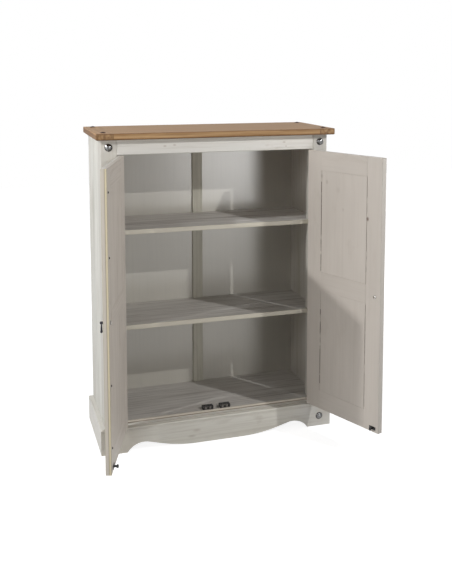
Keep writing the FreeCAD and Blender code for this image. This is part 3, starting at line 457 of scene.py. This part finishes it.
# the left end of the plinth is painted darker: painted shadow of the left door; the right end is
# painted close to the body's own tone
plinthEndShade = [
    {"at": (x, 0.0, 0.0), "squeeze": (1.0, 0.0, 0.0), "reach": 0.15, "core": 0.4, "amount": 0.9,
     "colour": colour}
    for x, colour in ((-0.41, paint(184, 178, 167)), (0.41, paint(222, 219, 212)))
]
boards = {"railHigh": 0.0975, "bottomFront": 0.022, "bottomHigh": 0.107, "shelfFront": 0.038}
# brown lines across the front at the bottom: painted shade in the crease where the bottom board
# meets the rail, and darker lines along the rail's and the board's front arrises
crossLine = {"squeeze": (0.0, 1.0, 1.0), "core": 0.5, "colour": paint(136, 121, 104)}
boardCreaseShade = dict(
    crossLine, at=(0.0, boards["bottomFront"], boards["railHigh"]), reach=0.004, amount=0.8)
railArris = dict(crossLine, at=(0.0, 0.0, boards["railHigh"]), reach=0.004, amount=0.5)
boardArris = dict(
    crossLine, at=(0.0, boards["bottomFront"], boards["bottomHigh"]), reach=0.003, amount=0.45)
shelfEdge = {
    "at": (0.0, boards["shelfFront"], 0.0), "squeeze": (0.0, 1.0, 0.0), "reach": 0.003,
    "core": 0.6, "amount": 0.8, "colour": paint(206, 199, 181),
}
bottomEdge = dict(shelfEdge, at=(0.0, boards["bottomFront"], 0.0), colour=paint(224, 217, 202))


# Marks on the doors, in metres from the hinge pin with the door shut

door = {
    "free": 0.3785, "outside": 0.004, "stripBack": 0.0165, "inside": 0.024,
    "stileJoint": 0.0735, "panelJoint": 0.306, "screws": 0.359,
    "screwHeights": (0.185, 0.3975, 0.8235, 1.037),
}


def doorFaces(side):
    # the outside of a door is washed like the carcase, its inner face and edges are browner
    return [{"door": side, "at": (0.0, 0.0, 0.0), "squeeze": (0.0, 1.0, 0.0), "reach": 0.013,
             "core": 0.75, "amount": 0.9, "colour": paint(220, 217, 210)}]


doorKnots = [
    {"at": (x, y, z), "squeeze": (1.0, 1.0, 0.8), "reach": reach, "amount": amount,
     "colour": paint(104, 76, 58)}
    for x, y, z, reach, amount in (
        (0.4746, -0.3008, 0.8881, 0.008, 0.8), (0.386, -0.083, 1.021, 0.008, 0.2),
        (0.396, -0.108, 1.001, 0.009, 0.2), (0.428, -0.187, 0.905, 0.007, 0.14),
        (0.418, -0.162, 0.977, 0.013, 0.1))
]
# broken dark lines along the right door's panel gaps: painted shade in the gaps
doorGapShade = [
    {"door": "right", "at": (-x, 0.0, 0.0), "squeeze": (1.0, 0.0, 0.0), "reach": 0.0024,
     "core": 0.3, "amount": 0.75, "broken": 26.0, "between": span, "colour": paint(88, 62, 46)}
    for x, span in (
        (door["stileJoint"], (0.65, 1.0)), (door["panelJoint"], (0.69, 1.045)),
        (door["stileJoint"], (0.2, 0.5)), (door["panelJoint"], (0.18, 0.57)))
]
# dark rings round the strip's screw heads: painted shade of the countersinks
stripScrewShade = [
    {"door": "left", "at": (door["screws"], door["inside"], z), "squeeze": (1.0, 1.0, 1.0),
     "reach": 0.0065, "core": 0.6, "amount": 0.6, "colour": paint(74, 62, 52)}
    for z in door["screwHeights"]
]
edgeFace = {
    "door": "left", "at": (door["free"], 0.0, 0.0), "squeeze": (1.0, 0.0, 0.0), "reach": 0.003,
    "core": 0.5, "amount": 0.95,
}
edgeLine = {"door": "left", "squeeze": (1.0, 1.0, 0.0), "reach": 0.002, "core": 0.4, "amount": 0.6}
stripJoint = dict(edgeLine, at=(door["free"], door["stripBack"], 0.0), colour=paint(158, 147, 124))
# on the left door's lock stile: a cream edge face, a dark line along the inner arris that is painted
# shade, and the strip's joint line
lockEdge = [
    dict(edgeFace, colour=paint(218, 206, 175)),
    dict(edgeLine, at=(door["free"], door["inside"], 0.0), colour=paint(128, 118, 104)),
    stripJoint,
]
stripLines = [
    dict(edgeFace, colour=paint(203, 195, 184)),
    dict(edgeLine, at=(door["free"], door["outside"], 0.0), colour=paint(172, 163, 130)),
    stripJoint,
]
freeEdge = dict(
    edgeFace, door="right", at=(-door["free"], 0.0, 0.0), amount=0.9, colour=paint(192, 186, 178))
doorLooks = {"left": shadedInsideLook, "right": insideLook}
doorMarks = {
    ("left", "lock_stile"): lockEdge + stripScrewShade,
    ("right", "lock_stile"): doorKnots + doorGapShade + [freeEdge],
    ("right", "hinge_stile"): doorKnots + doorGapShade,
    ("right", "upper_panel"): doorKnots,
    ("right", "lower_panel"): doorKnots,
}


# Marks on the top

topLow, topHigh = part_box("top_planks")
topBox = {"front": topLow[1], "low": topLow[2], "high": topHigh[2]}
# the upper face of the top is painted lighter and paler than its front: painted sheen
topFaceSheen = [{
    "at": (0.0, 0.0, topBox["high"]), "squeeze": (0.0, 0.0, 1.0), "reach": 0.003, "core": 0.5,
    "amount": 0.42, "colour": paint(222, 181, 141),
}]
battenEnds = [{
    "at": (0.0, topBox["front"], 0.0), "squeeze": (0.0, 1.0, 0.0), "reach": 0.004, "core": 0.6,
    "amount": 0.25, "colour": paint(118, 98, 78),
}]
# dark lines along the top's front arrises: dark wax in the upper one, painted shade under the lower
# one
topArris = {"squeeze": (0.0, 1.0, 1.0), "core": 0.2, "colour": paint(92, 62, 38)}
topArrises = [
    dict(topArris, at=(0.0, topBox["front"], topBox["high"]), reach=0.0045, amount=0.75),
    dict(topArris, at=(0.0, topBox["front"], topBox["low"]), reach=0.0075, amount=0.7),
]


# Every node gets its finish

finishes = {}


def pine(node, make=washedPine, **piece):
    finishes[node] = make(node + "Finish", **piece)


levelPieces = {
    "top_front_rail": {"look": washedLook, "shift": (1.4, 0.98, 0.0), "marks": railMarks},
    "bottom_front_rail": {"look": washedLook, "shift": (1.7, 1.19, 0.0),
                          "marks": [railArris, boardCreaseShade]},
    "plinth_front": {"look": plinthLook, "shift": (1.2, 0.84, 0.0), "marks": plinthMarks,
                     "under": plinthEndShade},
    "plinth_blocks": {"look": washedLook, "shift": (1.3, 0.91, 0.0)},
    "top_rear_rail": {"look": washedLook, "shift": (1.3, 0.91, 0.0)},
    "bottom_panel": {"look": shadedLowShelfLook, "shift": (1.56, 0.6, 0.0),
                     "marks": [bottomEdge, boardArris, boardCreaseShade]},
    "lower_shelf": {"look": shadedLowShelfLook, "shift": (1.43, 0.55, 0.0), "marks": [shelfEdge]},
    "upper_shelf": {"look": shelfLook, "shift": (1.43, 0.55, 0.0), "marks": [shelfEdge]},
}
doorShifts = {
    "hinge_stile": (0.0, 0.0, 0.3), "lock_stile": (0.13, 0.21, 0.3),
    "lower_panel": (0.26, 0.42, 0.3), "upper_panel": (0.39, 0.63, 0.3),
    "bottom_rail": (0.0, 0.0, 0.4), "mid_rail": (0.2, 0.11, 0.4), "top_rail": (0.4, 0.22, 0.4),
}
sideMetals = {
    "catch_{}_housing": blackSteel, "catch_{}_roller_inner": rollerGrey,
    "catch_{}_roller_outer": rollerGrey, "{}_strike": blackSteel, "{}_handle_rosette": iron,
    "{}_handle_drop": iron, "{}_hinge_door_leaves": hingeSteel, "{}_hinge_door_screws": zinc,
}
commonMetals = {
    "left_strip_screws": darkScrew, "top_studs": bronze, "front_studs": silvered,
    "top_fixing_screws": zinc, "hinge_post_leaves": hingeSteel, "hinge_post_screws": zinc,
    "hinge_pins": hingeSteel,
}

for side, hinge in hinges.items():
    pine(f"front_post_{side}", look=postLook, turn=uprightTurn, shift=(0.0, 0.17, 0.05))
    pine(f"side_panel_{side}", look=sideLook, turn=uprightTurn, shift=(0.31, 0.17, 0.05),
         under=sideInnerShade[side])
    pine(f"back_panel_{side}", look=backLook, turn=uprightTurn, shift=(0.4, 0.1, 0.2))
    pine(f"plinth_side_{side}", look=washedLook, turn=depthTurn, shift=(0.2, 0.36, 0.1))
    pine(f"top_end_batten_{side}", waxedPine, look=waxLook, turn=depthTurn, shift=(0.7, 0.3, 0.1),
         marks=topFaceSheen + battenEnds + topArrises)
    railTurn = (0.0, 0.0, -math.radians(hinge["open"]))
    for piece, shift in doorShifts.items():
        turn = railTurn if piece.endswith("rail") else uprightTurn
        pine(f"{side}_door_{piece}", look=doorLooks[side], turn=turn, shift=shift,
             marks=doorMarks.get((side, piece), ()), under=doorFaces(side))
    for pattern, material in sideMetals.items():
        finishes[pattern.format(side)] = material
    finishes[f"{side}_handle_bolt"] = nuts[side]
for node, piece in levelPieces.items():
    pine(node, turn=levelTurn, **piece)
pine("back_batten", look=battenLook, turn=uprightTurn, shift=(0.1, 0.3, 0.5))
pine("left_door_edge_strip", look=washedLook, turn=uprightTurn, shift=(0.5, 0.3, 0.1),
     marks=stripLines)
pine("top_planks", waxedPine, look=waxLook, turn=levelTurn, shift=(0.35, 0.12, 0.2),
     marks=topFaceSheen + topArrises)
finishes.update(commonMetals)

for node, material in finishes.items():
    nodes[node].data.materials.clear()
    nodes[node].data.materials.append(material)
missing = sorted(set(nodes) - set(finishes))
print("finished nodes:", len(finishes), "without a finish:", missing)


# Floor, lamps and camera

room = {
    "floorSize": 14.0,
    "floorCuts": 2,
    "floorDrop": 0.0005,
    "floorColour": (0.45, 0.45, 0.45, 1.0),
    "floorRough": 0.9,
    "floorGlow": (0.86, 1.0),
    "floorReach": (1.2, 3.2),
    "white": (1.0, 1.0, 1.0, 1.0),
    "worldLight": 0.1,
    "worldLow": (0.78, 0.78, 0.8, 1.0),
    "worldHigh": (1.0, 1.0, 1.0, 1.0),
    "worldSpan": (-0.2, 0.9),
}


def backgroundRay(tree):
    # 1 where the camera sees the surroundings, straight, mirrored or through glass
    path = tree.nodes.new("ShaderNodeLightPath")
    seen = combine(tree, "MAXIMUM", path.outputs["Is Camera Ray"], path.outputs["Is Glossy Ray"])
    return combine(tree, "MAXIMUM", seen, path.outputs["Is Transmission Ray"])


def makeFloor():
    cuts = room["floorCuts"]
    shape = bmesh.new()
    bmesh.ops.create_grid(shape, x_segments=cuts, y_segments=cuts, size=room["floorSize"] / 2)
    bmesh.ops.translate(shape, verts=shape.verts, vec=(0.0, 0.0, -room["floorDrop"]))
    mesh = bpy.data.meshes.new("floor")
    shape.to_mesh(mesh)
    shape.free()
    floor = bpy.data.objects.new("floor", mesh)
    bpy.context.collection.objects.link(floor)
    material, tree, shader = startMaterial("floorWhite")
    shader.inputs["Base Color"].default_value = room["floorColour"]
    shader.inputs["Roughness"].default_value = room["floorRough"]
    shader.inputs["Specular IOR Level"].default_value = 0.0
    shader.inputs["Emission Color"].default_value = room["white"]
    distance = away(tree, objectSpace(tree), (0.0, 0.0, 0.0), (1.0, 1.0, 1.0))
    glow = spread(tree, distance, *room["floorReach"], *room["floorGlow"])
    strength = combine(tree, "MULTIPLY", backgroundRay(tree), glow)
    tree.links.new(strength, shader.inputs["Emission Strength"])
    mesh.materials.append(material)


def makeWorld():
    # a soft light all round, seen as white
    world = bpy.data.worlds.new("studio")
    bpy.context.scene.world = world
    world.use_nodes = True
    tree = world.node_tree
    tree.nodes.clear()
    output = tree.nodes.new("ShaderNodeOutputWorld")
    soft = tree.nodes.new("ShaderNodeBackground")
    soft.inputs["Strength"].default_value = room["worldLight"]
    white = tree.nodes.new("ShaderNodeBackground")
    white.inputs["Color"].default_value = room["white"]
    mix = tree.nodes.new("ShaderNodeMixShader")
    split = tree.nodes.new("ShaderNodeSeparateXYZ")
    tree.links.new(tree.nodes.new("ShaderNodeTexCoord").outputs["Generated"], split.inputs[0])
    height = spread(tree, split.outputs["Z"], *room["worldSpan"])
    tone = tint(tree, height, room["worldLow"], room["worldHigh"])
    tree.links.new(tone, soft.inputs["Color"])
    tree.links.new(backgroundRay(tree), mix.inputs[0])
    tree.links.new(soft.outputs[0], mix.inputs[1])
    tree.links.new(white.outputs[0], mix.inputs[2])
    tree.links.new(mix.outputs[0], output.inputs[0])


lamps = {  # the small ones draw the streaks through the hinge gaps, the large ones fill
    "right": {"at": (1.45, -1.585, 2.04), "aim": (0.0, 0.0, 0.6), "size": 0.035, "power": 24.0},
    "left": {"at": (-2.1, -0.525, 2.19), "aim": (0.0, 0.0, 0.6), "size": 0.075, "power": 25.0},
    "front": {"at": (1.3, -3.3, 0.72), "aim": (0.0, 0.0, 0.7), "size": 0.9, "power": 20.0},
    "leftSide": {"at": (-3.0, -1.2, 1.2), "aim": (0.0, 0.0, 0.6), "size": 1.5, "power": 30.0},
    "leftHigh": {"at": (-2.4, -2.4, 2.6), "aim": (0.0, 0.0, 0.8), "size": 0.8, "power": 12.0},
    "behind": {"at": (1.2, 3.2, 0.7), "aim": (0.0, 0.3, 0.6), "size": 0.9, "power": 50.0},
}


def makeLamps():
    for name, look in lamps.items():
        data = bpy.data.lights.new(name, "AREA")
        data.shape = "DISK"
        data.size = look["size"]
        data.energy = look["power"]
        lamp = bpy.data.objects.new(name, data)
        bpy.context.collection.objects.link(lamp)
        beam = Vector(look["aim"]) - Vector(look["at"])
        lamp.location = look["at"]
        lamp.rotation_euler = beam.to_track_quat("-Z", "Y").to_euler()


eye = {
    "at": (-0.8503, -3.0146, 1.4463),
    "tilt": 83.943,  # degrees, 90 looks level
    "roll": 0.105,
    "heading": -18.355,
    "lens": 51.69,
    "shift": (-0.0521, -0.2385),
}


def makeCamera():
    data = bpy.data.cameras.new("camera")
    data.lens = eye["lens"]
    data.shift_x, data.shift_y = eye["shift"]
    camera = bpy.data.objects.new("camera", data)
    bpy.context.collection.objects.link(camera)
    camera.location = eye["at"]
    camera.rotation_mode = "QUATERNION"
    turned = (Matrix.Rotation(math.radians(eye["heading"]), 3, "Z")
              @ Matrix.Rotation(math.radians(eye["tilt"]), 3, "X")
              @ Matrix.Rotation(math.radians(eye["roll"]), 3, "Z"))
    camera.rotation_quaternion = turned.to_quaternion()
    bpy.context.scene.camera = camera


makeFloor()
makeWorld()
makeLamps()
makeCamera()
bpy.context.scene.view_settings.view_transform = "Standard"
print("floor, world, lamps and camera made")
